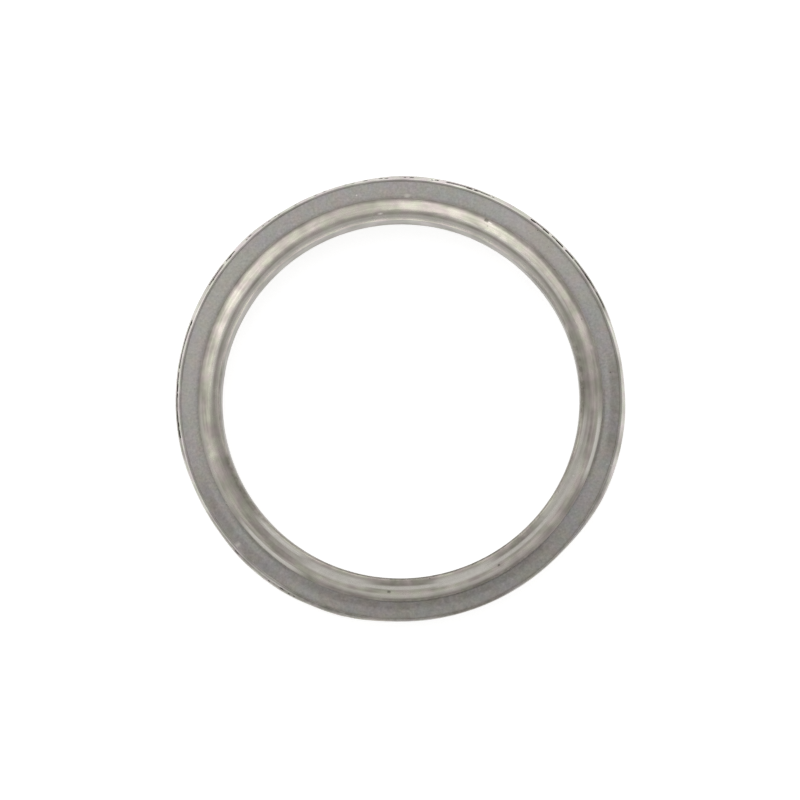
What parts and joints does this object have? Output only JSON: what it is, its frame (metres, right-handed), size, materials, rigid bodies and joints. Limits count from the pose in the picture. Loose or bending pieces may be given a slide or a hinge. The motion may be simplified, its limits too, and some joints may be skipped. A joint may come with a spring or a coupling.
{
  "type": "exhaust gasket",
  "caption": "Flat round exhaust gasket: a hollow folded sheet-metal ring with a raised sealing bead round its bore.",
  "frame": {"origin": "on the axis of the bore, in the plane of the flat back that the ring lies on", "axes": "+Z along the axis of the bore, out of the side with the raised bead; X and Y are any two directions across it"},
  "size_m": [0.055, 0.055, 0.005],
  "materials": {
    "sheet_steel": "dull pressed face, bead and rim polished by rolling"
  },
  "bodies": {
    "root": {"gasket_ring": "sheet_steel"}
  },
  "joints": []
}
